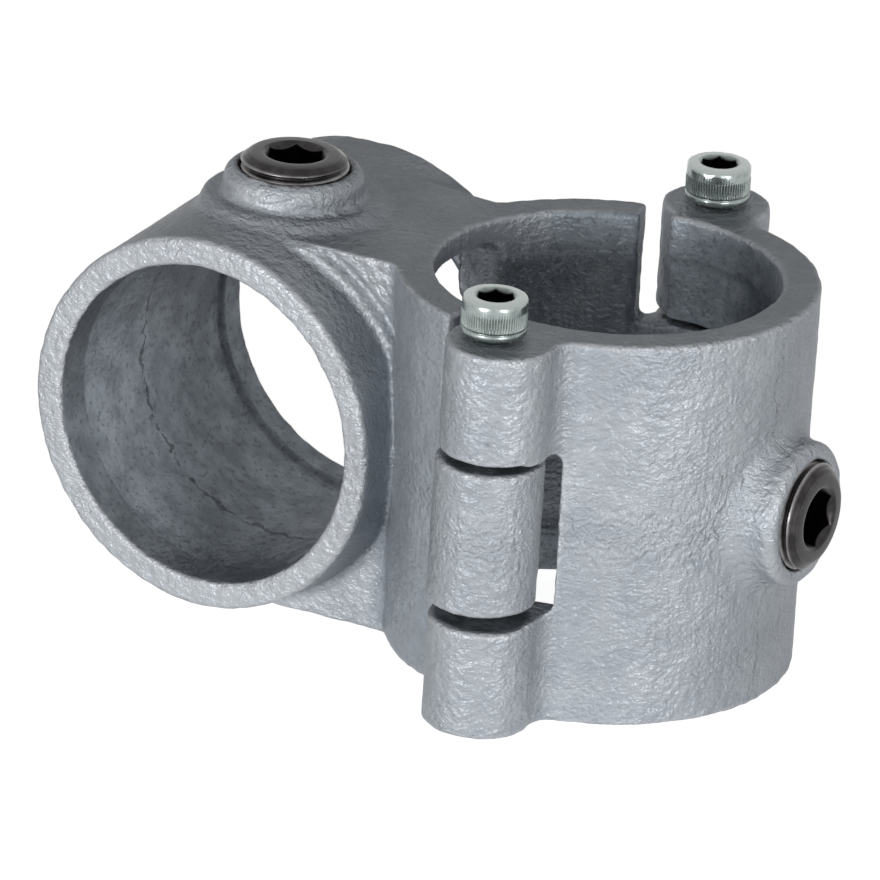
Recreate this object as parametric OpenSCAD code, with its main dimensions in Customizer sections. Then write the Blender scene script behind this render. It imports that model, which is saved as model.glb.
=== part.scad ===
// Hinged cross tube connector: a fixed socket for one tube and, square to it, a clamp socket
// whose front half swings open on a screw, so that it closes round a tube already in place.
// Z runs along the clamp socket, Y along the fixed socket, and X points at the clamp's set screw.
// The origin is on the clamp socket's axis, halfway up. Lengths are in millimetres.

/* [Tubes] */
// Diameter of the bore in both sockets, for a 48.3 mm tube
bore_d = 50; // [44:0.5:60]
// Distance between the two bores where the tubes pass each other
bore_gap = 4.1; // [3:0.1:14]
// Height of the bearing land at each end of a bore
land_h = 7; // [4:0.5:12]
// How much deeper the bore is between its two lands
relief = 0.8; // [0.3:0.1:1.5]
// Chamfer at each mouth of a bore
mouth = 1; // [0.4:0.1:1.5]

// Radius of the rounded outer edges of both sockets
rim_round = 1.5; // [0.5:0.1:2]

/* [Fixed socket] */
// Length of the fixed socket along its tube
socket_l = 52; // [46:1:70]
// Wall of the fixed socket
socket_wall = 5; // [4:0.25:7]
// How far the fixed socket's middle lies in front of the clamp socket's axis
socket_shift = 1.8; // [0:0.1:4]

/* [Clamp socket] */
// How far each end of the clamp socket stands past the fixed socket's crown
clamp_rise = 0.5; // [0:0.5:10]
// Wall of the half that belongs to the main casting
back_wall = 6; // [4:0.25:7]
// How far the back half's bore stands behind the hinged half's, so that the two draw up on a tube
draw_up = 2.1; // [0:0.1:2.5]
// How much lower the back half is at each end than the hinged half
back_step = 1; // [0:0.1:2]
// Wall of the hinged half
door_wall = 6; // [4.5:0.25:8]
// Angle from the clamp axis, behind square, where the back half's wall ends past its eyes
back_angle = 17; // [16:0.5:25]
// Where the hinged half ends above and below the eyes, behind the clamp axis
door_edge = 5; // [2:0.5:6]
// Gap between the hinge eye's round and the hinged half's wall in front of it
door_slot_gap = 1; // [1:0.1:6]

/* [Hinge and closing eyes] */
// Distance from the bore to the middle of the hinge screw and of the closing screw
pin_out = 9.5; // [9:0.1:14]
// How far behind the clamp axis the hinge screw stands
hinge_back = 0.7; // [0:0.1:2]
// How far behind the clamp axis the closing screw stands
closing_back = 2.1; // [0:0.1:2.5]
// Diameter of the eyes and knuckles
eye_d = 16.6; // [14:0.2:18]
// Height of the main casting's eyes
eye_h = 23; // [16:0.5:30]
// Gap between an eye and the knuckles above and below it
eye_gap = 1.7; // [0.5:0.1:2]
// How far the hinge eye's round stands in front of the hinge screw
eye_front = 0.8; // [0:0.1:0.8]
// How far the hinge knuckles' rounds stand in front of the hinge screw
knuckle_front = 1.6; // [0:0.1:1.7]
// How far the hinge knuckles' rounds stand outside the hinge screw
knuckle_out = 0.5; // [0:0.1:1]
// Radius where a knuckle runs into the hinged half's wall
knuckle_cove = 5; // [3:0.5:8]
// Radius where an eye runs into the back half's wall
eye_cove = 2.5; // [1:0.25:4]
// Radius of the rounded edges of the eyes and knuckles
eye_round = 0.8; // [0.2:0.1:1.5]

/* [Web between the sockets] */
// Thickness of the web along the fixed socket
web_w = 32; // [28:1:38]
// How far the web's middle lies in front of the clamp axis
web_shift = 1; // [0:0.5:3]
// Thickness of the web's front and rear walls at the clamp socket
web_wall = 4.5; // [3.5:0.1:8]
// How much thinner those walls are at the fixed socket
web_step = 2.6; // [0.5:0.1:3]
// Thickness of the web above and below its hollow
web_roof = 4.2; // [3.5:0.1:8]
// Where the web's level faces start, in front of the fixed socket's axis
web_start = 8; // [2:0.5:12]
// Where the hollow starts, in front of the fixed socket's axis
hollow_start = 10; // [4:0.5:14]
// Radius of the hollow's corners
hollow_round = 3; // [1:0.5:5]
// Size of the flare where the fixed socket runs into the web
flare = 3.5; // [1:0.5:5]

/* [Set screws and their bosses] */
// Thread diameter of a set screw, 3/8 inch pipe thread
set_d = 16.6; // [14:0.1:18]
// Length of a set screw
set_l = 11; // [9:0.5:14]
// Width across the flats of its hexagon socket
set_hex = 8; // [6:0.5:9]
// Depth of its hexagon socket
set_hex_depth = 5.2; // [4.5:0.1:6]
// Height of its outer end above the boss
set_proud = 1.8; // [0.5:0.1:3]
// Wall of a boss round its set screw
boss_wall = 2.9; // [2.6:0.1:5]
// Height of the clamp socket's boss above its wall
boss_h = 4.6; // [3:0.1:8]
// Height of the fixed socket's boss above its crown
crossover_boss_h = 5.2; // [3:0.1:8]
// How far the fixed socket's boss stands in front of its middle
boss_shift = 2.2; // [0:0.1:3]
// Radius of a boss's rounded shoulder
boss_round = 2; // [0.5:0.1:2.2]
// Size of the flare at the foot of a boss
boss_flare = 3; // [1:0.5:4]
// Countersink at the mouth of a set screw's hole
set_sink = 0.6; // [0.2:0.1:1]
// Chamfer at each end of a set screw
set_chamfer = 1.4; // [0.5:0.1:2]

/* [Hinge and closing screws] */
// Shank diameter of the two cap screws, M6
pin_d = 6; // [5:0.5:8]
// Gap between the end of a cap screw and the bottom of its hole
pin_end_gap = 2; // [0.5:0.5:8]
// Gap left under the head of a cap screw that is not screwed home
head_gap = 0.6; // [0:0.1:1]
// Diameter of a cap screw's head
head_d = 10; // [9:0.5:13]
// Height of a cap screw's head
head_h = 5.8; // [5:0.1:8]
// Width across the flats of a head's hexagon socket
head_hex = 5; // [4:0.5:6]
// Depth of a head's hexagon socket
head_hex_depth = 3; // [2:0.1:4]
// Chamfer at the end of a cap screw and round its head
pin_chamfer = 0.6; // [0.2:0.1:1]
// Chamfer at the mouth of each hexagon socket
hex_chamfer = 0.7; // [0.2:0.1:1]
// Metal left under the blind end of a cap screw's hole
blind_floor = 4; // [2:0.5:8]

/* [Fits] */
// Radial clearance of a cap screw's shank in the eyes and knuckles
pin_clear = 0.08; // [0.02:0.01:0.1]
// Radial clearance of a set screw in its boss
set_clear = 0.08; // [0.02:0.01:0.1]

/* [Hidden] */
$fn = 96;
over = 1;                                   // how far a cutter runs past the face it cuts
bore_r = bore_d / 2;
axis_gap = 2 * bore_r + bore_gap;
socket_r = bore_r + socket_wall;
clamp_h = 2 * (socket_r + clamp_rise);
back_r = bore_r + back_wall;
door_r = bore_r + door_wall;
top = clamp_h / 2;
eye_r = eye_d / 2;
back_top = top - back_step;
back_h = 2 * back_top;
eye_top = eye_h / 2;
knuckle_z = eye_top + eye_gap;
pin_y = bore_r + pin_out;
pin_r = pin_d / 2;
pin_l = clamp_h + head_gap - blind_floor - pin_end_gap;
set_r = set_d / 2;
boss_r = set_r + boss_wall;
hinge_at = [-hinge_back, -pin_y];
closing_at = [-closing_back, pin_y];
hinge_eye_at = hinge_at + [eye_front, 0];
hinge_knuckle_at = hinge_at + [knuckle_front, -knuckle_out];
door_slot = hinge_eye_at[0] + eye_r + door_slot_gap;
back_at = [-draw_up, 0];
socket_at = [-axis_gap, -socket_shift, 0];
crossover_at = socket_at - [0, boss_shift, 0];
web_front = -web_shift - web_w / 2;
web_back = web_front + web_w;
web_end = -draw_up - sqrt(pow(bore_r + back_wall / 2, 2) - pow(web_front, 2));
hollow_w = web_w - 2 * web_wall;
hollow_top = back_top - web_roof;
hollow_seam = -axis_gap + socket_r * cos(45);
crossover_face = socket_r + crossover_boss_h;
clamp_face = door_r + boss_h;
case_grey = [0.64, 0.67, 0.70];
gun_metal = [0.20, 0.20, 0.21];
zinc = [0.74, 0.78, 0.77];

// Where a round of radius f touches two outside circles: radius a about the origin and b about p
function cove_centre(p, a, b, f, side) =
    let (d = norm(p), u = p / d,
         along = ((a + f) * (a + f) - (b + f) * (b + f) + d * d) / (2 * d),
         across = sqrt((a + f) * (a + f) - along * along))
    along * u + side * across * [u[1], -u[0]];

// Side of a drum of radius r and height h, up from its foot, with each rim eased by edge in two
// cuts. Where out is -1 it flares out at both ends instead, as the hollow side of a cove does.
function side_line(r, h, edge, out = 1) = concat(
    [for (a = [90, 45, 0]) [r - out * edge * (1 - cos(a)), -h / 2 + edge * (1 - sin(a))]],
    [for (a = [0, 45, 90]) [r - out * edge * (1 - cos(a)), h / 2 - edge * (1 - sin(a))]]);

// Solid drum about Z with eased rims
module drum(r, h, edge) {
    rotate_extrude() polygon(concat([[0, -h / 2]], side_line(r, h, edge), [[0, h / 2]]));
}

// The metal between two drums of height h, with its face rounded by f and its rims eased by edge
module cove(p, a, b, f, side, h, edge) {
    end = h / 2 + over;
    difference() {
        linear_extrude(h, center = true) polygon([[0, 0], p, cove_centre(p, a, b, f, side)]);
        translate(cove_centre(p, a, b, f, side)) rotate_extrude()
            polygon(concat([[0, -end], [f + edge, -end]], side_line(f, h, edge, -1),
                           [[f + edge, end], [0, end]]));
    }
}

// A block of height h in front of the plane x, or behind it where side is -1
module beyond(x, h, side = 1) {
    translate([x + side * 2 * pin_y, 0, 0]) cube([4 * pin_y, 4 * pin_y, h], center = true);
}

// A block of height h behind two upright planes through the axis at back_at, back_angle off square
module behind(h) {
    far = 2 * pin_y;
    slant = far * tan(back_angle);
    translate(back_at) linear_extrude(h, center = true)
        polygon([[0, 0], [-slant, far], [-far, far], [-far, -far], [-slant, -far]]);
}

// Bore of a socket of length l about Z: a land at each end, relief between, and chamfered mouths
module bore(l) {
    half = l / 2;
    translate([0, 0, -half - over]) cylinder(r = bore_r, h = l + 2 * over);
    translate([0, 0, -half + land_h]) cylinder(r = bore_r + relief, h = l - 2 * land_h);
    for (s = [0, 1]) mirror([0, 0, s])
        translate([0, 0, half - mouth])
            cylinder(r1 = bore_r, r2 = bore_r + mouth + over, h = mouth + over);
}

// Boss about Z, from foot up to its face, with a flare where it leaves the wall at crown
module boss(foot, crown, face) {
    flare_r = boss_r + boss_flare;
    rotate_extrude() {
        translate([0, foot]) square([boss_r - boss_round, face - foot]);
        translate([0, foot]) square([boss_r, face - boss_round - foot]);
        translate([boss_r - boss_round, face - boss_round]) circle(boss_round, $fn = 32);
        polygon([[0, foot], [flare_r, foot], [flare_r, crown - boss_flare], [boss_r, crown], [0, crown]]);
    }
}

// Tapped hole of a set screw about Z, with a countersunk mouth at face
module set_hole(face) {
    r = set_r + set_clear;
    cylinder(r = r, h = face + over);
    translate([0, 0, face - set_sink]) cylinder(r1 = r, r2 = r + set_sink + over, h = set_sink + over);
}

// The hollow that joins the two bores inside the web, between two planes across X
module hollow(x0, x1, w) {
    middle = -web_shift;
    r = hollow_round;
    translate([x0, middle, 0]) rotate([90, 0, 90]) linear_extrude(x1 - x0) hull()
        for (y = [-1, 1], z = [-1, 1])
            translate([y * (w / 2 - r), z * (hollow_top - r)]) circle(r, $fn = 32);
}

// Web and the flares where it meets the fixed socket, before the bores are cut
module web() {
    level = -axis_gap + web_start;
    translate([0, web_back, 0]) rotate([90, 0, 0]) linear_extrude(web_w)
        polygon([[-axis_gap, -socket_r], [level, -back_top], [web_end, -back_top],
                 [web_end, back_top], [level, back_top], [-axis_gap, socket_r]]);
    intersection() {
        translate([-axis_gap, web_front - flare, -back_top])
            cube([axis_gap + web_end, web_w + 2 * flare, back_h]);
        translate([-axis_gap, 0, 0]) rotate([90, 0, 0]) {
            translate([0, 0, -web_front - over])
                cylinder(r1 = socket_r + flare + over, r2 = socket_r, h = flare + over);
            translate([0, 0, -web_back - flare])
                cylinder(r1 = socket_r, r2 = socket_r + flare + over, h = flare + over);
        }
    }
}

// Back half of the clamp socket with the eyes for the hinge and closing screws
module back_half() {
    intersection() {
        translate(back_at) drum(back_r, back_h, rim_round);
        union() {
            behind(back_h + 2 * over);
            beyond(0, eye_h, -1);
        }
    }
    for (at = [hinge_eye_at, closing_at]) translate(at) rotate(180) drum(eye_r, eye_h, eye_round);
    translate(back_at) {
        cove(hinge_eye_at - back_at, back_r, eye_r, eye_cove, 1, eye_h, eye_round);
        cove(closing_at - back_at, back_r, eye_r, eye_cove, -1, eye_h, eye_round);
    }
}

module main_casting() color(case_grey) difference() {
    union() {
        translate(socket_at) rotate([90, 0, 0]) drum(socket_r, socket_l, rim_round);
        translate(crossover_at) boss(bore_r + 1, socket_r, crossover_face);
        web();
        back_half();
    }
    translate(socket_at) rotate([90, 0, 0]) bore(socket_l);
    translate(back_at) bore(back_h);
    hollow(hollow_seam - over, 0, hollow_w);
    hollow(-axis_gap + hollow_start, hollow_seam, hollow_w + 2 * web_step);
    translate(crossover_at) set_hole(crossover_face);
    for (at = [hinge_at, closing_at])
        translate([at[0], at[1], -eye_top - over])
            cylinder(r = pin_r + pin_clear, h = eye_h + 2 * over);
}

// Body of the hinged half, before the eyes of the main casting are given their room
module hinged_body() {
    intersection() {
        rotate(180) drum(door_r, clamp_h, rim_round);
        beyond(-door_edge, clamp_h + 2 * over);
    }
    for (at = [hinge_knuckle_at, closing_at])
        translate(at) rotate(180) drum(eye_r, clamp_h, rim_round);
    cove(hinge_knuckle_at, door_r, eye_r, knuckle_cove, -1, clamp_h, rim_round);
    cove(closing_at, door_r, eye_r, knuckle_cove, 1, clamp_h, rim_round);
}

module hinged_half() color(case_grey) difference() {
    union() {
        difference() {
            hinged_body();
            beyond(door_slot, 2 * knuckle_z, -1);
        }
        rotate([0, 90, 0]) boss(bore_r + 1, door_r, clamp_face);
    }
    bore(clamp_h);
    rotate([0, 90, 0]) set_hole(clamp_face);
    for (at = [hinge_at, closing_at])
        translate([at[0], at[1], -top + blind_floor])
            cylinder(r = pin_r + pin_clear, h = clamp_h);
}

// Hexagon socket cut down from height z, across its flats, with a chamfered mouth
module hexagon(z, flats, depth) {
    translate([0, 0, z - depth]) cylinder(d = flats / cos(30), h = depth + over, $fn = 6);
    translate([0, 0, z - hex_chamfer])
        cylinder(r1 = flats / 2, r2 = flats / 2 + hex_chamfer + over, h = hex_chamfer + over);
}

// Set screw about Z with its outer end at height z, chamfered at both ends
module set_screw(z) {
    foot = z - set_l;
    rim = set_r - set_chamfer;
    difference() {
        rotate_extrude() polygon([[0, foot], [rim, foot], [set_r, foot + set_chamfer],
                                  [set_r, z - set_chamfer], [rim, z], [0, z]]);
        hexagon(z, set_hex, set_hex_depth);
    }
}

// Cap screw about Z with its head seated at height z
module cap_screw(z) {
    head_r = head_d / 2;
    translate([0, 0, z]) difference() {
        rotate_extrude() polygon([[0, -pin_l], [pin_r - pin_chamfer, -pin_l],
                                  [pin_r, -pin_l + pin_chamfer], [pin_r, 0],
                                  [head_r, 0], [head_r, head_h - pin_chamfer],
                                  [head_r - pin_chamfer, head_h], [0, head_h]]);
        hexagon(head_h, head_hex, head_hex_depth);
    }
}

module crossover_set_screw() color(gun_metal)
    translate(crossover_at) set_screw(crossover_face + set_proud);

module clamp_set_screw() color(gun_metal)
    rotate([0, 90, 0]) set_screw(clamp_face + set_proud);

module hinge_screw() color(zinc)
    translate(hinge_at) cap_screw(top + head_gap);

module closing_screw() color(zinc)
    translate(closing_at) cap_screw(top + head_gap);

main_casting();
hinged_half();
crossover_set_screw();
clamp_set_screw();
hinge_screw();
closing_screw();
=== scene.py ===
"""Looks of the hinged cross tube connector: two galvanised castings and four screws.

Lengths are in millimetres until a mesh is made. A casting is a distance field that is turned
into a mesh, and a screw is built from rings of points.
"""

import math

import bpy
import numpy as np
from mathutils import Matrix, Vector


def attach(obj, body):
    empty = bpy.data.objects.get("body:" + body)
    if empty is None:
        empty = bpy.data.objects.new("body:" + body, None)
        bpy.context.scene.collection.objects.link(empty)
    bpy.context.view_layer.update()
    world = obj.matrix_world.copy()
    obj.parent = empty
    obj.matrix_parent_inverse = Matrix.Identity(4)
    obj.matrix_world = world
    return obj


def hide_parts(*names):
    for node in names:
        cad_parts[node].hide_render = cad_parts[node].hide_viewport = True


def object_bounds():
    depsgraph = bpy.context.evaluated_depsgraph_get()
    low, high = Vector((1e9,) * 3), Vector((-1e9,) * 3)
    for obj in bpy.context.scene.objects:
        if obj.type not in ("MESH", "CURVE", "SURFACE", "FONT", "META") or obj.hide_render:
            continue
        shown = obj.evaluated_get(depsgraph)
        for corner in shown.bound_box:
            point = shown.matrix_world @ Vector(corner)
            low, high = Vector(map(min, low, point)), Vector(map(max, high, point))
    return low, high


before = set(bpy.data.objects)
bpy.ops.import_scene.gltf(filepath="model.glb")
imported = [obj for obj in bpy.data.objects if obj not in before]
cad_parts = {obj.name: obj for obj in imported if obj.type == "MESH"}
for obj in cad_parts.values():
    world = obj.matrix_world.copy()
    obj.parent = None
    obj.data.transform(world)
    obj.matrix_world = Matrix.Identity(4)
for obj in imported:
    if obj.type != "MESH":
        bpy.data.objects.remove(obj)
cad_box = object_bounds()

MM = 0.001

# Sizes of the part, as in its source
BORE_R = 25.0
RELIEF = 0.8
LAND_H = 7.0
SOCKET_AT = np.array([-54.1, -1.8, 0.0])
SOCKET_R = 30.0
SOCKET_L = 52.0
BACK_R = 31.0
BACK_AT = -2.1
BACK_TOP = 29.5
BACK_ANGLE = math.radians(17)
DOOR_R = 31.0
TOP = 30.5
DOOR_EDGE = -5.0
DOOR_SLOT = 9.4
HINGE_AT = (-0.7, -34.5)
HINGE_EYE_AT = (0.1, -34.5)
HINGE_KNUCKLE_AT = (0.9, -35.0)
CLOSING_AT = (-2.1, 34.5)
EYE_R = 8.3
EYE_TOP = 11.5
KNUCKLE_Z = 13.2
WEB_MIDDLE = -1.0
WEB_HALF = 16.0
WEB_END = -24.3
HOLLOW_TOP = 25.3
HOLLOW_HALF = 11.5
HOLLOW_WIDE = 14.1
HOLLOW_SEAM = -32.9
HOLLOW_START = -44.1
HOLLOW_CORNER = 3.0
BOSS_R = 11.2
CROSSOVER_AT = np.array([-54.1, -4.0, 0.0])
CROSSOVER_FACE = 35.2
CLAMP_FACE = 35.6
SET_R = 8.3
SET_L = 11.0
SET_PROUD = 1.8
SET_HEX = 8.0
SET_HEX_DEEP = 5.2
PIN_R = 3.0
PIN_HOLE_R = 3.08
PIN_HOLE_FLOOR = 4.0
PIN_L = 55.6
HEAD_H = 5.8
HEAD_GAP = 0.6
HEAD_HEX = 5.0
HEAD_HEX_DEEP = 3.0

# Forms that differ from the source, most of them fitted to the photograph
REAR_LAND_H = 5.4
BACK_FOOT = 30.3
BACK_DRAFT = 0.7
EYE_RISE = 0.2
WEB_SWELL = 0.085
WEB_SWELL_FROM = -27.5
WEB_SWELL_OVER = 18
SOCKET_SLACK = 0.03
SOCKET_CROWN = 0.3
SOCKET_BODY = (-26.0, -12.0)
FRONT_SLIM = 0.35
FRONT_SLIM_RIGHT = 0.3
BULGE = 1.0
BULGE_TOWARDS = (0.643, 0.766)
BULGE_ALONG = (-16.0, 8.0)
BOSS_SLIM = 0.3
BOSS_FOOT = 26.0
PAD_R = 14.2
PAD_TOP = 30.7
SEAM_FROM = 6.0
SEAM_BELOW_TOP = 0.6
SEAM_FADE = (-10.0, 4.0)
BEAD_OUT, BEAD_R = 0.6, 0.75
GROOVE_OUT, GROOVE_R = 2.3, 0.55
GAP_AT = (0.5, -34.75)
GAP_Z = 12.45
SET_HOLE_R = 8.5
KNURL_R = 4.9

# Rounded edges and fillets of the castings
RIM_ROUND = 0.9
BORE_ROUND = 0.8
EDGE_ROUND = 0.6
BACK_ROUND = 1.1
BACK_COVE = 1.4
EYE_ROUND = 0.8
EYE_COVE = 2.5
WEB_ROUND = 0.3
WEB_COVE = 0.8
BEAD_COVE = 0.5
GROOVE_ROUND = 0.3
HOLLOW_ROUND = 1.0
CROSSOVER_ROUND = 2.4
CROSSOVER_COVE = 1.0
PAD_ROUND = 1.6
PAD_COVE = 2.0
CLAMP_BOSS_ROUND = 1.7
CLAMP_BOSS_COVE = 2.6
DOOR_END_ROUND = 1.0
DOOR_ROUND = 0.8
KNUCKLE_COVE = 0.8
KNUCKLE_COVE_MORE = 2.8
KNUCKLE_COVE_OVER = (-1.5, 3.5)
SLOT_CORNER = 2.2
SLOT_ROUND = 0.7
SET_HOLE_ROUND = 0.4
PIN_HOLE_ROUND = 0.3

# Skin of the castings
INSET = 0.15
PEEL = 0.10
SWELL = 0.07
NICKS = 0.07
BEND_REACH = 0.9

# Colours
ZINC_DARK = (0.377, 0.405, 0.440)
ZINC_LIGHT = (0.457, 0.487, 0.520)
ZINC_CLOUD = (0.326, 0.355, 0.395)
# Painted light on the faces of the fixed socket and its web that face along Y:
ZINC_PAINTED_LIGHT = (0.60, 0.625, 0.66)
ZINC_EDGE_HIGHLIGHT = (0.55, 0.57, 0.60)
ZINC_MARK = (0.12, 0.125, 0.13)
# Painted shade in the bores and gaps, with its specks, its parting line and its deeper shade:
SHADED_DARK = (0.29, 0.325, 0.365)
SHADED_LIGHT = (0.44, 0.485, 0.535)
SHADED_SPECK = (0.12, 0.13, 0.14)
SHADED_SEAM = (0.06, 0.065, 0.07)
SHADED_DEEPER = (0.06, 0.066, 0.072)
STEEL_DARK = (0.030, 0.028, 0.030)
STEEL_WORN = (0.062, 0.057, 0.057)
STEEL_HIGHLIGHT = (0.27, 0.26, 0.26)
STEEL_DEEP = (0.006, 0.006, 0.006)
PLATE_LIGHT = (0.34, 0.38, 0.37)
PLATE_DULL = (0.20, 0.24, 0.23)
PLATE_HIGHLIGHT = (0.42, 0.46, 0.45)
PLATE_DEEP = (0.02, 0.022, 0.02)

# Lights
LAMP_SIZE = (0.26, 0.34)
RIGHT_LAMP, RIGHT_POWER = (0.77, -0.47, 0.02), 5.7
LEFT_LAMP, LEFT_POWER = (-0.12, -0.89, 0.02), 5.9
SKY_LEVEL = 0.03
FLOOR_GREY = 0.9
FLOOR_GLOW = 0.92
FLOOR_HALF = 1.5
FLOOR_BELOW = 0.0005


# Noise

def lattice(cells, seed):
    """A random number from -1 to 1 for each whole-numbered cell corner."""
    c = cells.astype(np.int64).astype(np.uint64)
    h = c[:, 0] * np.uint64(73856093) ^ c[:, 1] * np.uint64(19349663)
    h ^= c[:, 2] * np.uint64(83492791)
    h = (h ^ np.uint64(seed * 2654435761)) & np.uint64(0xFFFFFFFF)
    for _ in range(2):
        h = ((h ^ (h >> np.uint64(15))) * np.uint64(2246822519)) & np.uint64(0xFFFFFFFF)
    h ^= h >> np.uint64(13)
    return h.astype(np.float64) / 2147483647.5 - 1.0


def noise(points, size, seed):
    """Smooth noise from -1 to 1 at each point, with bumps about size across."""
    p = points / size + 1000.0
    base = np.floor(p)
    f = p - base
    w = f * f * (3 - 2 * f)
    total = np.zeros(len(p))
    for corner in np.ndindex(2, 2, 2):
        share = np.prod(np.where(np.array(corner) == 1, w, 1 - w), axis=1)
        total += share * lattice(base + np.array(corner), seed)
    return total


def step_between(x, low, high):
    """0 below low, 1 above high and a smooth rise between."""
    t = np.clip((x - low) / (high - low), 0, 1)
    return t * t * (3 - 2 * t)


# Distance fields: negative in the metal

def apart(a, b):
    return np.sqrt(a * a + b * b)


def joined(a, b, r):
    """Union of two shapes with a fillet of radius r between them."""
    return np.maximum(r, np.minimum(a, b)) - apart(np.maximum(r - a, 0), np.maximum(r - b, 0))


def both(a, b, r):
    """What two shapes share, with edges rounded by r."""
    return np.minimum(-r, np.maximum(a, b)) + apart(np.maximum(r + a, 0), np.maximum(r + b, 0))


def less(a, b, r):
    """The first shape without the second, with edges rounded by r."""
    return both(a, -b, r)


def bore_radius(along, length, far_land=LAND_H):
    """Radius of a socket's bore: tighter on the land at each end."""
    near, far = LAND_H - length / 2, length / 2 - far_land
    past_near = step_between(along, near - 0.2, near + 0.5)
    past_far = step_between(along, far - 0.3, far + 0.2)
    return BORE_R + RELIEF * (past_near * (1 - past_far))


def socket_radius(sx, sy, z):
    """Radius of the fixed socket's outside: slim in front, full above, below and by the boss."""
    r = apart(sx, z) + 1e-6
    up, left = z / r, -sx / r
    body = step_between(sy, *SOCKET_BODY)
    bulge = step_between(BULGE_TOWARDS[0] * left + BULGE_TOWARDS[1] * up, 0.8, 1.0)
    bulge = bulge * step_between(sy, *BULGE_ALONG)
    slim = FRONT_SLIM + FRONT_SLIM_RIGHT * step_between(sx, 0, 20)
    plain = SOCKET_R - SOCKET_SLACK - slim * (1 - body)
    return plain + SOCKET_CROWN * up * up * body + BULGE * bulge


def main_field(x, y, z):
    """The main casting."""
    sx, sy = x - SOCKET_AT[0], y - SOCKET_AT[1]
    from_socket = apart(sx, z)
    from_clamp = apart(x - BACK_AT, y)
    half = web_half(x)
    outside = socket_radius(sx, sy, z)
    socket = both(from_socket - outside, np.abs(sy) - SOCKET_L / 2, RIM_ROUND)
    body = joined(back_field(x, y, z, from_clamp, half), socket, WEB_COVE)
    bead, groove = seam_fields(sx, y, z, half)
    body = less(joined(body, bead, BEAD_COVE), groove, GROOVE_ROUND)
    from_boss = apart(x - CROSSOVER_AT[0], y - CROSSOVER_AT[1])
    boss = both(from_boss - BOSS_R + BOSS_SLIM, z - CROSSOVER_FACE, CROSSOVER_ROUND)
    boss = np.maximum(boss, BOSS_FOOT - z)
    pad = np.maximum(both(from_boss - PAD_R, z - PAD_TOP, PAD_ROUND), BOSS_FOOT - z)
    body = joined(joined(body, pad, PAD_COVE), boss, CROSSOVER_COVE)
    body = less(body, from_socket - bore_radius(sy, SOCKET_L, REAR_LAND_H), BORE_ROUND)
    body = less(body, from_clamp - bore_radius(z, 2 * BACK_TOP), BORE_ROUND)
    body = less(body, hollow_field(x, y, z), HOLLOW_ROUND)
    body = less(body, np.maximum(from_boss - SET_HOLE_R, -z), SET_HOLE_ROUND)
    return without_pin_holes(body, x, y, np.abs(z) - TOP)


def back_field(x, y, z, from_clamp, half):
    """The back half of the clamp socket with the web behind it and its two eyes."""
    height = np.maximum(z - BACK_TOP, -BACK_FOOT - z)
    eye_height = np.abs(z - EYE_RISE) - EYE_TOP
    behind = math.cos(BACK_ANGLE) * (x - BACK_AT) + math.sin(BACK_ANGLE) * np.abs(y)
    wall_part = joined(behind, both(x, eye_height, EDGE_ROUND), BACK_COVE)
    back_r = BACK_R - BACK_DRAFT + BACK_DRAFT * z / BACK_TOP
    shell = both(both(from_clamp - back_r, wall_part, BACK_ROUND), height, EDGE_ROUND)
    across = np.abs(y - WEB_MIDDLE) - half
    web = np.maximum(np.maximum(x - WEB_END, SOCKET_AT[0] - x), across)
    tall = joined(shell, both(web, height, WEB_ROUND), WEB_COVE)
    for at in (HINGE_EYE_AT, CLOSING_AT):
        eye = both(apart(x - at[0], y - at[1]) - EYE_R, eye_height, EYE_ROUND)
        tall = joined(tall, eye, EYE_COVE)
    return np.maximum(tall, height)


def web_half(x):
    """Half of the web's thickness, which grows towards the fixed socket."""
    return WEB_HALF + WEB_SWELL * np.clip(WEB_SWELL_FROM - x, 0, WEB_SWELL_OVER)


def seam_fields(sx, y, z, half):
    """The bead and the groove round the fixed socket where the web's faces meet it."""
    face = np.abs(y - WEB_MIDDLE) - half
    r = apart(sx, z)
    away = np.maximum(SEAM_FROM - sx, z - BACK_TOP + SEAM_BELOW_TOP)
    share = step_between(z, *SEAM_FADE)
    bead = apart(r - (SOCKET_R + BEAD_OUT), face - 0.1) - BEAD_R * share
    groove = apart(r - (SOCKET_R + GROOVE_OUT), face - 0.1) - GROOVE_R * share
    return np.maximum(bead, away), np.maximum(groove, away)


def hollow_field(x, y, z):
    """The cored hollow of the web: narrow at the clamp socket, wider at the fixed socket."""
    across = np.abs(y - WEB_MIDDLE)
    high = np.abs(z) - HOLLOW_TOP
    narrow = both(across - HOLLOW_HALF, high, HOLLOW_CORNER)
    narrow = np.maximum(narrow, np.maximum(x, HOLLOW_SEAM - 1 - x))
    wide = both(across - HOLLOW_WIDE, high, HOLLOW_CORNER)
    wide = np.maximum(wide, np.maximum(x - HOLLOW_SEAM, HOLLOW_START - x))
    return np.minimum(narrow, wide)


def door_field(x, y, z):
    """The hinged half."""
    from_clamp = apart(x, y)
    shell = both(from_clamp - DOOR_R, DOOR_EDGE - x, DOOR_END_ROUND)
    cove = KNUCKLE_COVE + KNUCKLE_COVE_MORE * step_between(x, *KNUCKLE_COVE_OVER)
    for at in (HINGE_KNUCKLE_AT, CLOSING_AT):
        shell = joined(shell, apart(x - at[0], y - at[1]) - EYE_R, cove)
    body = both(shell, np.abs(z) - TOP, DOOR_ROUND)
    slot = both(np.abs(z) - KNUCKLE_Z, x - DOOR_SLOT, SLOT_CORNER)
    body = less(body, slot, SLOT_ROUND)
    from_boss = apart(y, z)
    boss = both(from_boss - BOSS_R, x - CLAMP_FACE, CLAMP_BOSS_ROUND)
    body = joined(body, np.maximum(boss, BOSS_FOOT - x), CLAMP_BOSS_COVE)
    body = less(body, from_clamp - bore_radius(z, 2 * TOP), BORE_ROUND)
    body = less(body, np.maximum(from_boss - SET_HOLE_R, -x), SET_HOLE_ROUND)
    return without_pin_holes(body, x, y, PIN_HOLE_FLOOR - TOP - z)


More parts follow.
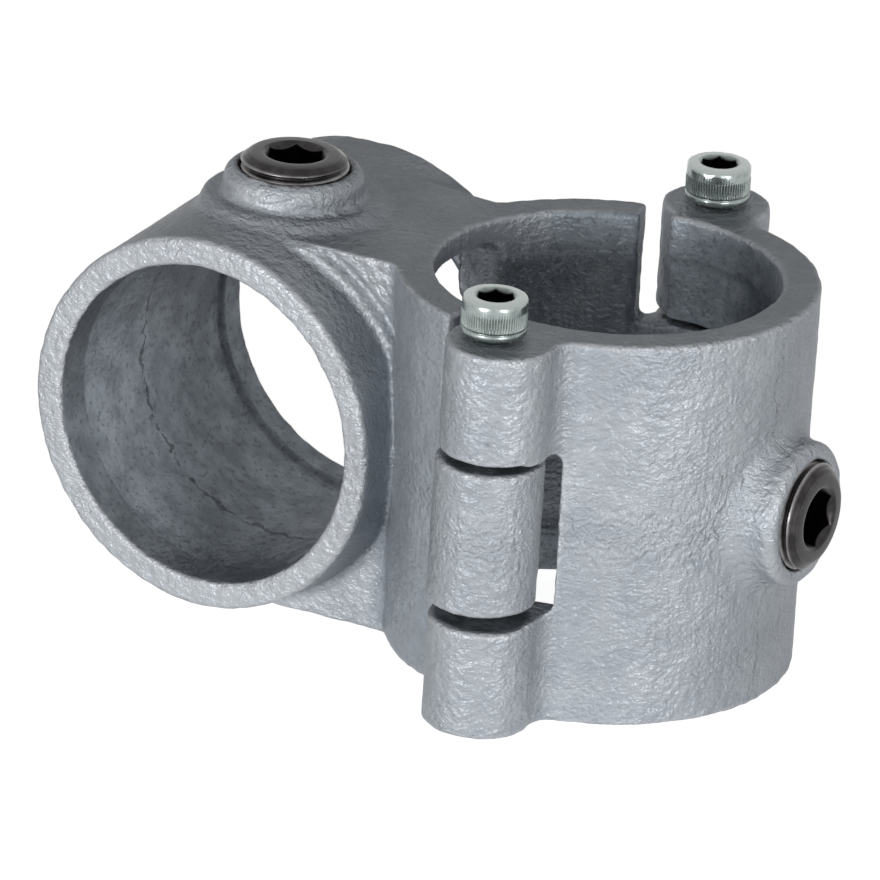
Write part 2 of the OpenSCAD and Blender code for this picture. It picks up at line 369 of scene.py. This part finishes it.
def without_pin_holes(body, x, y, height):
    """A casting less its two pin holes, each as high as the field height says."""
    for at in (HINGE_AT, CLOSING_AT):
        hole = np.maximum(apart(x - at[0], y - at[1]) - PIN_HOLE_R, height)
        body = less(body, hole, PIN_HOLE_ROUND)
    return body


# Meshes

def edge_crossings(f, axis):
    """Where the surface crosses the grid's edges along one axis, with f as the grid's values.

    Gives each crossing, the four cells round its edge, and whether the edge starts in the metal.
    """
    here, there = [slice(None)] * 3, [slice(None)] * 3
    here[axis], there[axis] = slice(0, -1), slice(1, None)
    f0, f1 = f[tuple(here)], f[tuple(there)]
    at = np.argwhere((f0 < 0) != (f1 < 0))
    others = [i for i in range(3) if i != axis]
    off_border = (at[:, others] > 0) & (at[:, others] < np.array(f.shape)[others] - 1)
    at = at[np.all(off_border, axis=1)]
    a, b = f0[tuple(at.T)], f1[tuple(at.T)]
    crossing = at.astype(np.float64)
    crossing[:, axis] += a / (a - b)
    cell = np.repeat(at[:, None, :], 4, axis=1)
    cell[:, (1, 2), (axis + 1) % 3] -= 1
    cell[:, (2, 3), (axis + 2) % 3] -= 1
    return crossing, np.ravel_multi_index(tuple(np.moveaxis(cell, 2, 0)), f.shape), a < 0


def surface_net(field, low, high, step):
    """Points and quads of the surface where field is zero, in the box from low to high."""
    axes = [np.arange(low[i], high[i] + step, step) for i in range(3)]
    x, y, z = np.meshgrid(*[a.astype(np.float32) for a in axes], indexing="ij", sparse=True)
    f = field(x, y, z).astype(np.float32)
    parts = zip(*[edge_crossings(f, axis) for axis in range(3)])
    crossings, cells, starts_inside = [np.concatenate(part) for part in parts]
    _, index = np.unique(cells, return_inverse=True)
    index = index.reshape(-1)
    count = np.bincount(index)
    weights = np.repeat(crossings, 4, axis=0)
    points = np.stack([np.bincount(index, weights[:, i]) / count for i in range(3)], axis=1)
    quads = index.reshape(-1, 4)
    quads[~starts_inside] = quads[~starts_inside][:, ::-1]
    return points * step + np.array([a[0] for a in axes]), quads


def slope(field, points):
    """Value of the field at each point, and its gradient."""
    d = 0.02
    value = field(*points.T)
    grad = np.stack([(field(*(points + d * e).T) - field(*(points - d * e).T)) / (2 * d)
                     for e in np.eye(3)], axis=1)
    return value, grad


def settle(field, points, quads, rounds):
    """Evens the points out along the surface and puts them exactly on it."""
    edges = np.concatenate([quads[:, (i, (i + 1) % 4)] for i in range(4)])
    start, end = edges[:, 0], edges[:, 1]
    count = np.bincount(start, minlength=len(points))[:, None]
    for _ in range(rounds):
        mean = np.stack([np.bincount(start, points[end, i], len(points)) for i in range(3)],
                        axis=1)
        value, grad = slope(field, points)
        square = np.maximum((grad * grad).sum(1), 0.2)[:, None]
        drift = 0.5 * (mean / count - points)
        drift -= grad * (drift * grad).sum(1)[:, None] / square
        points = points + drift - grad * value[:, None] / square
    value, grad = slope(field, points)
    square = np.maximum((grad * grad).sum(1), 0.2)[:, None]
    return points - grad * value[:, None] / square


def mesh_piece(name, points, faces, material):
    """A smooth mesh object; faces is an array of quads or a list of polygons."""
    mesh = bpy.data.meshes.new(name)
    if isinstance(faces, np.ndarray):
        mesh.vertices.add(len(points))
        mesh.vertices.foreach_set("co", (points * MM).ravel())
        mesh.loops.add(faces.size)
        mesh.loops.foreach_set("vertex_index", faces.ravel())
        mesh.polygons.add(len(faces))
        mesh.polygons.foreach_set("loop_start", np.arange(len(faces)) * faces.shape[1])
        mesh.update(calc_edges=True)
    else:
        mesh.from_pydata([tuple(p) for p in points * MM], [], faces)
    mesh.validate()
    mesh.polygons.foreach_set("use_smooth", [True] * len(mesh.polygons))
    mesh.materials.append(material)
    piece = bpy.data.objects.new(name, mesh)
    bpy.context.scene.collection.objects.link(piece)
    return piece


def paint(piece, name, values):
    """Stores one number a point on a piece, for its material to read."""
    layer = piece.data.attributes.new(name, "FLOAT", "POINT")
    layer.data.foreach_set("value", np.asarray(values, np.float32))


# Castings

def cast_relief(points, bend):
    """How far the skin of a casting is pressed in at each point."""
    flat = points * (1.0, 1.0, 1.25)
    peel = 0.5 * noise(flat, 1.8, 3) + 0.35 * noise(flat, 3.1, 5) + 0.3 * noise(points, 1.05, 7)
    swell = noise(points, 9.0, 11) + 0.6 * noise(points, 19.0, 13)
    nicks = np.clip(bend, 0, 1) * (noise(points, 1.3, 15) + 0.6 * noise(points, 3.7, 17))
    return PEEL * peel + SWELL * swell + NICKS * nicks


def shaded_places(points):
    """Painted shade: 1 in the bores and the gaps at the eyes, half on the back half's outside, 0
    elsewhere.
    """
    x, y, z = points.T
    in_socket = apart(x - SOCKET_AT[0], z) < SOCKET_R - 3.4
    in_socket &= np.abs(y - SOCKET_AT[1]) < SOCKET_L / 2 - 0.6
    in_clamp = (apart(x, y) < DOOR_R - 4.4) & (np.abs(z) < TOP - 0.6)
    in_bore = (in_socket | in_clamp).astype(float)
    # Half painted shade on the back half's outside.
    back_r = apart(x - BACK_AT, y)
    in_lee = 0.5 * step_between(back_r, 29.0, 29.6) * (1 - step_between(back_r, 31.3, 32.0))
    in_lee = in_lee * step_between(-x, 8.0, 11.0) * (np.abs(z) < BACK_TOP - 0.3)
    return np.maximum(np.maximum(in_bore, gap_share(points)), in_lee)


def gap_share(points):
    """Painted shade in the gaps: 1 on the faces that meet at the eyes of the two castings, fading
    to 0 at their rims.
    """
    x, y, z = points.T
    level = 1 - step_between(np.abs(np.abs(z) - GAP_Z), 0.8, 1.1)
    near = np.minimum(apart(x - GAP_AT[0], y - GAP_AT[1]),
                      apart(x - CLOSING_AT[0], y - CLOSING_AT[1]))
    return level * (1 - step_between(near, 6.9, 7.7))


def shade_share(points):
    """How much deeper the painted shade is: at the edges and the top of the fixed bore, and in
    gaps.
    """
    x, y, z = points.T
    sy = y - SOCKET_AT[1]
    in_socket = apart(x - SOCKET_AT[0], z) < SOCKET_R - 2.5
    rear_step = np.exp(-((sy - SOCKET_L / 2 + REAR_LAND_H + 0.2) / 0.45) ** 2)
    front_step = LAND_H - SOCKET_L / 2
    front_land = 1 - step_between(sy, front_step - 0.3, front_step + 0.3)
    upper = step_between(z, -8.0, 14.0)
    shade = in_socket * np.maximum(0.4 * upper + 0.3 * front_land, 0.8 * rear_step)
    return np.maximum(shade, 0.85 * gap_share(points))


def casting(name, field, low, high, step, material):
    """A casting's piece, with the numbers that its material reads painted on it."""
    points, quads = surface_net(field, low, high, step)
    points = settle(field, points, quads, 3)
    _, grad = slope(field, points)
    normal = grad / np.linalg.norm(grad, axis=1)[:, None]
    around = sum(field(*(points + s * BEND_REACH * e).T) for e in np.eye(3) for s in (-1, 1))
    bend = around / (BEND_REACH * BEND_REACH)
    painted_shade = shaded_places(points)
    points = points - normal * (INSET + cast_relief(points, bend))[:, None]
    # Painted light: the faces of the fixed socket and its web that face along Y are made paler.
    facing = step_between(np.abs(normal[:, 1]), 0.86, 0.97)
    piece = mesh_piece(name, points, quads, material)
    paint(piece, "bend", np.clip(bend, -1, 1))
    paint(piece, "painted_shade", painted_shade)
    paint(piece, "shade", shade_share(points))
    paint(piece, "painted_light", facing * (points[:, 0] < -25) * (1 - painted_shade))
    return piece


# Screws

def ring(angle, radius, z):
    """Points at the given angles about Z."""
    radius = np.broadcast_to(radius, angle.shape)
    z = np.broadcast_to(z, angle.shape)
    return np.stack([radius * np.cos(angle), radius * np.sin(angle), z], axis=1)


def full_turn(n):
    return np.arange(n) * 2 * math.pi / n


def lathe(rows):
    """Points and faces of a closed shape from rings of points, with a point at each end."""
    n = len(rows[0])
    first, final = rows[0].mean(0, keepdims=True), rows[-1].mean(0, keepdims=True)
    points = np.concatenate([first, *rows, final])
    faces = []
    last = len(points) - 1
    for i in range(n):
        j = (i + 1) % n
        faces.append((0, 1 + j, 1 + i))
        for k in range(len(rows) - 1):
            a, b = 1 + k * n, 1 + (k + 1) * n
            faces.append((a + i, a + j, b + j, b + i))
        faces.append((last, last - n + i, last - n + j))
    return points, faces


def joined_shapes(a, b):
    """Two closed shapes as one list of points and one of faces."""
    points = np.concatenate([a[0], b[0]])
    shift = len(a[0])
    return points, a[1] + [tuple(i + shift for i in f) for f in b[1]]


def hex_rings(angle, flats, lead, top, depth):
    """Rings of a hexagon socket from its floor up to the countersunk mouth."""
    turn = np.mod(angle, math.pi / 3) - math.pi / 6
    wall = flats / 2 / np.cos(turn)
    mouth = flats / 2 + lead
    sunk = np.maximum(mouth - wall, 0)
    return [ring(angle, wall * 0.35, top - depth - 0.7),
            ring(angle, wall * 0.97, top - depth),
            ring(angle, wall, top - depth + 0.15),
            ring(angle, wall, top - sunk - 0.13),
            ring(angle, wall, top - sunk - 0.02),
            ring(angle, mouth, top)]


def thread(angle, z, radius, pitch, depth):
    """Radius of a helical thread."""
    t = np.abs(np.mod(z / pitch - angle / (2 * math.pi), 1.0) - 0.5) * 2
    return radius - depth * np.clip((t - 0.12) / 0.76, 0, 1)


def set_screw_mesh():
    """Set screw about Z with its outer face at height 0, and where its highlight and shade are
    painted.
    """
    angle = full_turn(144)
    flat, lead, pitch, depth = 6.75, 0.9, 1.337, 0.75
    rows = hex_rings(angle, SET_HEX, lead, 0.0, SET_HEX_DEEP)
    rows += [ring(angle, r, z) for r, z in ((5.2, 0.0), (6.5, 0.0), (flat, -0.06))]
    for z in np.arange(-0.2, -SET_L, -0.12):
        limit = min(flat - z * 1.4, SET_R, SET_R - 1.4 + (z + SET_L))
        rows.append(ring(angle, np.minimum(thread(angle, z, SET_R, pitch, depth), limit), z))
    for r, z in ((6.6, 0.0), (6.0, 0.0), (5.0, 0.4), (2.0, 1.0)):
        rows.append(ring(angle, r, z - SET_L))
    points, faces = lathe(rows[::-1])
    r, z = apart(points[:, 0], points[:, 1]), points[:, 2]
    # Painted highlight on the thread's crests and on the edge of the flat.
    crest = np.clip((r - SET_R + 0.45) / 0.3, 0, 1)
    painted_highlight = crest + 0.15 * np.exp(-((r - flat) / 0.12) ** 2)
    # Painted shade: near black down in the hex socket.
    deep = (r < 4.7) * np.clip((r - z - SET_HEX / 2 - lead - 0.02) / 0.1, 0, 1)
    return points, faces, painted_highlight, deep


def cap_screw_mesh(seat, worn):
    """Cap screw about Z with its head seated at height seat, and where its highlight and shade are
    painted.
    """
    points, faces = joined_shapes(cap_screw_head(seat, worn), cap_screw_shank(seat))
    r, up = apart(points[:, 0], points[:, 1]), points[:, 2] - TOP - HEAD_GAP
    # Painted highlight on the head's top ring round the hex socket.
    painted_highlight = np.clip((r - 3.2) / 0.2, 0, 1) * np.clip((up - HEAD_H + 0.6) / 0.3, 0, 1)
    # Painted shade: darker in the knurl's grooves and near black in the hex socket.
    groove = np.clip((4.84 - r) / 0.06, 0, 0.4) * (up > 1.0) * (up < 4.2) * (r > 4.0)
    deep = np.maximum(np.clip((2.95 - r) / 0.08, 0, 1) * (up > 2.0), groove)
    return points, faces, painted_highlight, deep


def cap_screw_head(seat, worn):
    """Knurled head; worn is how ragged its upper edge is."""
    angle = full_turn(432)
    top = seat + HEAD_H - 0.02
    rim = ring(angle, 4.2, 0.0)
    burr = worn * (0.06 * noise(rim, 0.9, 21) + 0.05 * noise(rim, 0.45, 22))
    rows = hex_rings(angle, HEAD_HEX, 0.55, top, HEAD_HEX_DEEP)
    rows += [ring(angle, 3.4, top), ring(angle, 4.1, top),
             ring(angle, 4.35, top - 0.04 + burr * 0.5),
             ring(angle, 4.65 + burr, top - 0.16), ring(angle, 4.83 + burr, top - 0.4)]
    ridges = 0.5 + 0.5 * np.cos(angle * 72)
    for z, k in ((-0.85, 0.0), (-1.85, 0.0), (-2.0, 0.5), (-2.2, 1.0), (-3.2, 1.0),
                 (-4.25, 1.0), (-4.4, 0.5)):
        rows.append(ring(angle, KNURL_R - 0.2 * k * (1 - ridges) + 0.06 * k, top + z))
    for r, z in ((4.78, 1.22), (4.72, 1.12), (4.9, 1.02), (4.94, 0.9), (4.94, 0.35),
                 (4.86, 0.15), (4.6, 0.03), (4.0, 0.02), (3.0, 0.02)):
        rows.append(ring(angle, r, seat + z))
    return lathe(rows[::-1])


def cap_screw_shank(seat):
    """Shank from its threaded end up into the head."""
    angle = full_turn(72)
    end = seat - PIN_L
    start = end + 24.0
    tip = 2.4
    rows = [ring(angle, 1.4, end), ring(angle, tip, end)]
    for z in np.arange(end + 0.1, start, 0.125):
        limit = min(tip + (z - end), PIN_R)
        rows.append(ring(angle, np.minimum(thread(angle, z, PIN_R, 1.0, 0.55), limit), z))
    rows += [ring(angle, PIN_R, z) for z in (start + 0.3, seat - 20.0, seat - 10.0, seat + 0.5)]
    return lathe(rows)


# Materials

class Nodes:
    """Short way to build a node tree. Sizes are in millimetres."""

    def __init__(self, name):
        self.material = bpy.data.materials.new(name)
        self.material.use_nodes = True
        self.tree = self.material.node_tree
        self.shader = self.tree.nodes["Principled BSDF"]
        self.object = self.add("ShaderNodeTexCoord").outputs["Object"]

    def add(self, kind, **settings):
        node = self.tree.nodes.new(kind)
        for key, value in settings.items():
            setattr(node, key, value)
        return node

    def put(self, value, socket):
        """Sets a socket to a number or a colour, or links an output to it."""
        if isinstance(value, (int, float)):
            socket.default_value = value
        elif isinstance(value, tuple):
            socket.default_value = (*value, 1.0)
        else:
            self.tree.links.new(value, socket)

    def noise(self, size, detail=2.0, rough=0.5, stretch=None):
        node = self.add("ShaderNodeTexNoise")
        self.put(1 / (size * MM), node.inputs["Scale"])
        self.put(detail, node.inputs["Detail"])
        self.put(rough, node.inputs["Roughness"])
        vector = self.object
        if stretch:
            mapping = self.add("ShaderNodeMapping")
            mapping.inputs["Scale"].default_value = stretch
            self.put(vector, mapping.inputs["Vector"])
            vector = mapping.outputs["Vector"]
        self.put(vector, node.inputs["Vector"])
        return node.outputs["Fac"]

    def spots(self, size, reach):
        """1 in small spots about a cell apart, 0 elsewhere."""
        node = self.add("ShaderNodeTexVoronoi")
        self.put(1 / (size * MM), node.inputs["Scale"])
        self.put(1.0, node.inputs["Randomness"])
        self.put(self.object, node.inputs["Vector"])
        return self.range(node.outputs["Distance"], reach, 0.0)

    def parting_line(self):
        """1 on the ragged line that the core's two halves left round the fixed socket's bore."""
        parts = self.add("ShaderNodeSeparateXYZ")
        self.put(self.object, parts.inputs[0])
        sway = self.range(self.noise(7.0, 3.0, 0.7), 0.3, 0.7, -4.6 * MM, -2.2 * MM)
        off = self.math("ABSOLUTE", self.math("SUBTRACT", parts.outputs["Y"], sway), 0.0)
        width = self.range(self.noise(1.4, 2.0), 0.4, 0.65, 0.02 * MM, 0.5 * MM)
        return self.range(self.math("DIVIDE", off, width), 0.7, 1.2, 1.0, 0.0)

    def attribute(self, name):
        return self.add("ShaderNodeAttribute", attribute_name=name).outputs["Fac"]

    def range(self, value, low, high, out_low=0.0, out_high=1.0):
        node = self.add("ShaderNodeMapRange")
        for key, number in (("From Min", low), ("From Max", high),
                            ("To Min", out_low), ("To Max", out_high), ("Value", value)):
            self.put(number, node.inputs[key])
        return node.outputs["Result"]

    def math(self, how, a, b):
        node = self.add("ShaderNodeMath", operation=how)
        for socket, value in zip(node.inputs, (a, b)):
            self.put(value, socket)
        return node.outputs[0]

    def mix(self, share, a, b):
        node = self.add("ShaderNodeMix", data_type="RGBA")
        for index, value in ((0, share), (6, a), (7, b)):
            self.put(value, node.inputs[index])
        return node.outputs[2]

    def bump(self, height, distance, strength=1.0, under=None):
        node = self.add("ShaderNodeBump")
        self.put(distance * MM, node.inputs["Distance"])
        self.put(strength, node.inputs["Strength"])
        self.put(height, node.inputs["Height"])
        if under is not None:
            self.put(under, node.inputs["Normal"])
        return node.outputs["Normal"]

    def finish(self, sockets):
        """Fills the shader's sockets and returns the material."""
        for name, value in sockets.items():
            self.put(value, self.shader.inputs[name])
        return self.material


def galvanised():
    """Hot-dip galvanised casting: pale blue-grey zinc over a fine cast skin."""
    n = Nodes("galvanised_iron")
    broad = n.noise(16.0, 3.0, 0.55)
    cloud = n.noise(4.5, 3.0, 0.6)
    fine = n.noise(0.9, 3.0, 0.6)
    seam = n.parting_line()
    painted_shade = n.attribute("painted_shade")
    bright = n.mix(n.range(broad, 0.35, 0.65), ZINC_DARK, ZINC_LIGHT)
    bright = n.mix(n.range(cloud, 0.42, 0.68, 0.0, 0.45), bright, ZINC_CLOUD)
    # Painted light: paler on the faces of the fixed socket and its web that face along Y.
    bright = n.mix(n.math("MULTIPLY", n.attribute("painted_light"), 0.55), bright, ZINC_PAINTED_LIGHT)
    # Painted highlight: paler on convex edges.
    bright = n.mix(n.range(n.attribute("bend"), 0.25, 0.9, 0.0, 0.5), bright, ZINC_EDGE_HIGHLIGHT)
    # Painted shade in the bores, the gaps and on the back half's outside, with specks and the
    # parting line on it.
    dull_and_shaded = n.mix(n.range(cloud, 0.4, 0.65), SHADED_DARK, SHADED_LIGHT)
    dull_and_shaded = n.mix(n.math("MULTIPLY", n.range(fine, 0.55, 0.66), 0.5), dull_and_shaded, SHADED_SPECK)
    dull_and_shaded = n.mix(n.math("MULTIPLY", seam, 0.6), dull_and_shaded, SHADED_SEAM)
    # Painted shade, deeper at the fixed bore's edges and top and in the gaps.
    dull_and_shaded = n.mix(n.attribute("shade"), dull_and_shaded, SHADED_DEEPER)
    marks = n.math("MULTIPLY", n.spots(5.5, 0.1), n.range(broad, 0.5, 0.56))
    colour = n.mix(n.math("MULTIPLY", marks, 0.6), n.mix(painted_shade, bright, dull_and_shaded), ZINC_MARK)
    outside = n.range(painted_shade, 0.0, 1.0, 1.0, 0.45)
    rough_here = n.range(n.noise(10.0, 2.0, 0.5), 0.36, 0.6, 0.3, 1.0)
    normal = n.bump(n.noise(1.6, 2.0, 0.55, (1, 1, 1.3)), 0.48, outside)
    small = n.noise(0.8, 2.0, 0.6, (1, 1, 1.2))
    normal = n.bump(small, 0.37, n.math("MULTIPLY", rough_here, outside), normal)
    normal = n.bump(n.noise(0.45, 2.0, 0.6), 0.07, 0.8, normal)
    normal = n.bump(n.range(seam, 0.0, 1.0, 1.0, 0.0), 0.3, 0.8, normal)
    return n.finish({"Base Color": colour, "Metallic": 0.25, "Specular IOR Level": 0.08,
                     "Specular Tint": (0.35, 0.35, 0.35),
                     "Roughness": n.range(fine, 0.3, 0.7, 0.34, 0.44), "Normal": normal})


def gun_metal():
    """Blackened steel of the set screws, with painted highlights on the crests of the thread."""
    n = Nodes("dark_steel")
    wear = n.noise(2.2, 4.0, 0.6)
    colour = n.mix(n.range(wear, 0.45, 0.75), STEEL_DARK, STEEL_WORN)
    # Painted highlight on the thread's crests and the edge of the flat.
    painted_highlight = n.math("MULTIPLY", n.attribute("painted_highlight"), n.range(wear, 0.3, 0.6, 0.5, 1.0))
    # Painted shade: near black in the hex socket.
    colour = n.mix(n.attribute("deep"), n.mix(painted_highlight, colour, STEEL_HIGHLIGHT), STEEL_DEEP)
    return n.finish({"Base Color": colour, "Metallic": 0.8, "Specular IOR Level": 0.3,
                     "Roughness": n.range(wear, 0.3, 0.7, 0.24, 0.38),
                     "Normal": n.bump(n.noise(0.35), 0.04, 0.4)})


def zinc_plate():
    """Bright zinc plate of the cap screws, faintly green, with duller patches and a painted
    highlight on the head's top.
    """
    n = Nodes("zinc_steel")
    dull_and_shaded = n.noise(1.6, 4.0, 0.6)
    colour = n.mix(n.range(dull_and_shaded, 0.4, 0.7), PLATE_LIGHT, PLATE_DULL)
    # Painted highlight on the head's top ring.
    colour = n.mix(n.attribute("painted_highlight"), colour, PLATE_HIGHLIGHT)
    # Painted shade: near black in the hex socket and darker in the knurl's grooves.
    colour = n.mix(n.attribute("deep"), colour, PLATE_DEEP)
    return n.finish({"Base Color": colour, "Metallic": 0.9,
                     "Roughness": n.range(dull_and_shaded, 0.3, 0.7, 0.18, 0.34),
                     "Normal": n.bump(n.noise(0.3), 0.03, 0.35)})


# Pieces

def place(piece, body, node):
    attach(piece, body)
    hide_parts(node)


def build_castings():
    zinc = galvanised()
    step = 0.6
    cast = casting("cast_main", main_field, (-86, -45, -32), (10, 45, 38), step, zinc)
    place(cast, "main", "main_casting")
    cast = casting("cast_hinged", door_field, (-12, -45, -32), (38, 45, 32), step, zinc)
    place(cast, "door", "hinged_half")


def screw(name, points, shape, material):
    """A screw's piece from its points and the rest of its shape: faces and where highlight and
    shade are painted.
    """
    faces, painted_highlight, deep = shape
    piece = mesh_piece(name, points, faces, material)
    paint(piece, "painted_highlight", painted_highlight)
    paint(piece, "deep", deep)
    return piece


def build_screws():
    dark = gun_metal()
    bright = zinc_plate()
    points, *shape = set_screw_mesh()
    lifted = points + CROSSOVER_AT + (0, 0, CROSSOVER_FACE + SET_PROUD)
    piece = screw("screw_crossover", lifted, shape, dark)
    place(piece, "crossover_screw", "crossover_set_screw")
    out = points[:, 2] + CLAMP_FACE + SET_PROUD
    turned = np.stack([out, points[:, 1], -points[:, 0]], axis=1)
    piece = screw("screw_clamp", turned, shape, dark)
    place(piece, "clamp_screw", "clamp_set_screw")
    for name, at, body, node, worn in (
            ("screw_hinge", HINGE_AT, "hinge_pin", "hinge_screw", 0.3),
            ("screw_closing", CLOSING_AT, "closing_pin", "closing_screw", 1.0)):
        points, *shape = cap_screw_mesh(TOP + HEAD_GAP, worn)
        piece = screw(name, points + np.array([*at, 0.0]), shape, bright)
        place(piece, body, node)


# Camera, fitted to the photograph

def build_camera():
    azimuth, elevation, roll = 0.51746, 0.39238, 0.06317
    origin_px, scale, distance = (602.07, 457.36), 6.6505, 1433.6
    picture_px, film_mm = 880, 36.0
    ca, sa = math.cos(azimuth), math.sin(azimuth)
    ce, se = math.cos(elevation), math.sin(elevation)
    right = Vector((ca, sa, 0))
    up = Vector((-sa * se, ca * se, ce))
    back = Vector((sa * ce, -ca * ce, se))
    x_axis = math.cos(roll) * right + math.sin(roll) * up
    y_axis = -math.sin(roll) * right + math.cos(roll) * up
    off_x = (origin_px[0] - picture_px / 2) / scale
    off_y = (origin_px[1] - picture_px / 2) / scale
    place_mm = -off_x * x_axis + off_y * y_axis + distance * back
    data = bpy.data.cameras.new("camera")
    data.sensor_width = film_mm
    data.lens = film_mm * scale * distance / picture_px
    data.clip_start, data.clip_end = 0.05, 20.0
    camera = bpy.data.objects.new("camera", data)
    bpy.context.scene.collection.objects.link(camera)
    turn = Matrix((x_axis, y_axis, back)).transposed()
    camera.matrix_world = Matrix.Translation(place_mm * MM) @ turn.to_4x4()
    bpy.context.scene.camera = camera


# Lights, floor and background

def lamp(name, at, power):
    """A soft lamp that faces the origin."""
    data = bpy.data.lights.new(name, "AREA")
    data.shape = "RECTANGLE"
    data.size, data.size_y = LAMP_SIZE
    data.energy = power
    light = bpy.data.objects.new(name, data)
    bpy.context.scene.collection.objects.link(light)
    light.location = at
    light.rotation_mode = "QUATERNION"
    light.rotation_quaternion = (-Vector(at)).to_track_quat("-Z", "Y")


def seen_directly(tree):
    """1 for camera, glossy and transmission rays."""
    path = tree.nodes.new("ShaderNodeLightPath")
    total = path.outputs["Is Camera Ray"]
    for name in ("Is Glossy Ray", "Is Transmission Ray"):
        top = tree.nodes.new("ShaderNodeMath")
        top.operation = "MAXIMUM"
        tree.links.new(total, top.inputs[0])
        tree.links.new(path.outputs[name], top.inputs[1])
        total = top.outputs[0]
    return total


def build_world():
    """A dim sky for the object, which shows as white behind it."""
    world = bpy.data.worlds.new("studio")
    bpy.context.scene.world = world
    world.use_nodes = True
    tree = world.node_tree
    background = tree.nodes["Background"]
    background.inputs["Color"].default_value = (1, 1, 1, 1)
    strength = tree.nodes.new("ShaderNodeMapRange")
    strength.inputs["To Min"].default_value = SKY_LEVEL
    strength.inputs["To Max"].default_value = 1.0
    tree.links.new(seen_directly(tree), strength.inputs["Value"])
    tree.links.new(strength.outputs["Result"], background.inputs["Strength"])


def build_floor():
    """A pale matt floor that looks white and keeps the object's shadow."""
    material = bpy.data.materials.new("floor")
    material.use_nodes = True
    tree = material.node_tree
    shader = tree.nodes["Principled BSDF"]
    shader.inputs["Base Color"].default_value = (FLOOR_GREY, FLOOR_GREY, FLOOR_GREY, 1)
    shader.inputs["Roughness"].default_value = 0.9
    strength = tree.nodes.new("ShaderNodeMath")
    strength.operation = "MULTIPLY"
    strength.inputs[1].default_value = FLOOR_GLOW
    tree.links.new(seen_directly(tree), strength.inputs[0])
    glow = tree.nodes.new("ShaderNodeEmission")
    tree.links.new(strength.outputs[0], glow.inputs["Strength"])
    sum_of = tree.nodes.new("ShaderNodeAddShader")
    tree.links.new(shader.outputs[0], sum_of.inputs[0])
    tree.links.new(glow.outputs[0], sum_of.inputs[1])
    tree.links.new(sum_of.outputs[0], tree.nodes["Material Output"].inputs["Surface"])
    level = (cad_box[0].z - FLOOR_BELOW) / MM
    corners = np.array([[-1, -1, 0], [1, -1, 0], [1, 1, 0], [-1, 1, 0]]) * FLOOR_HALF / MM
    floor = mesh_piece("floor", corners + (0, 0, level), np.array([[0, 1, 2, 3]]), material)


build_castings()
build_screws()
build_camera()
lamp("right", RIGHT_LAMP, RIGHT_POWER)
lamp("left", LEFT_LAMP, LEFT_POWER)
build_world()
build_floor()
bpy.context.scene.view_settings.view_transform = "Standard"
